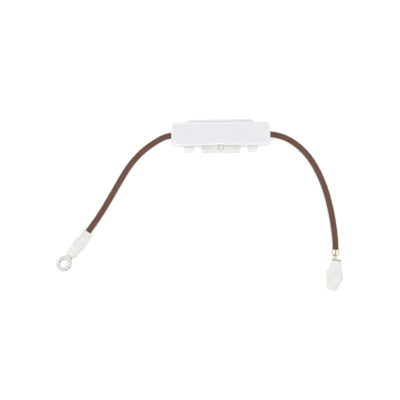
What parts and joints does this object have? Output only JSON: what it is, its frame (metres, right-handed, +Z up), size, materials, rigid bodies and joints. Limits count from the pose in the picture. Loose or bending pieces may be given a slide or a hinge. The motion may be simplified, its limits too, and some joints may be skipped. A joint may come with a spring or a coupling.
{
  "type": "in-line high-voltage fuse",
  "caption": "In-line high-voltage fuse: a hinged plastic holder round a glass fuse, with two insulated leads, one to a ring terminal and one to a push-on receptacle.",
  "frame": {"origin": "centre of the holder's flat underside", "axes": "+X along the holder towards the receptacle lead, +Y towards the living hinge, +Z up out of the lid"},
  "size_m": [0.1825, 0.1101, 0.0146],
  "materials": {
    "nylon": "satin moulded nylon",
    "sleeve_plastic": "soft translucent sleeve",
    "lead_silicone": "matt silicone insulation",
    "fuse_glass": "clear",
    "plated_caps": "nickel plated",
    "fuse_wire": "drawn wire with a solder bead",
    "spring_steel": "drawn wire",
    "clip_brass": "stamped sheet",
    "tinned_copper": "tinned",
    "tinned_strands": "stranded wire"
  },
  "bodies": {
    "base": {"holder_base": "nylon", "latch_hook": "nylon", "hinge_web": "nylon", "fuse_tube": "fuse_glass", "fuse_cap_left": "plated_caps", "fuse_cap_right": "plated_caps", "fuse_element": "fuse_wire", "fuse_spring": "spring_steel", "fuse_clip_left": "clip_brass", "fuse_clip_right": "clip_brass", "clip_strands_left": "tinned_strands", "clip_strands_right": "tinned_strands", "left_lead": "lead_silicone", "right_lead": "lead_silicone", "ring_terminal": "tinned_copper", "ring_strands": "tinned_strands", "ring_sleeve": "sleeve_plastic", "receptacle": "clip_brass", "receptacle_strands": "tinned_strands", "receptacle_sleeve": "sleeve_plastic"},
    "lid": {"holder_lid": "nylon"}
  },
  "joints": [
    {"name": "lid_hinge", "type": "hinge", "parent": "base", "child": "lid", "pos_m": [0, 0.0099, 0.00735], "axis": [-1, 0, 0], "range_deg": [0, 175], "deforming": ["hinge_web", "latch_hook"]}
  ]
}
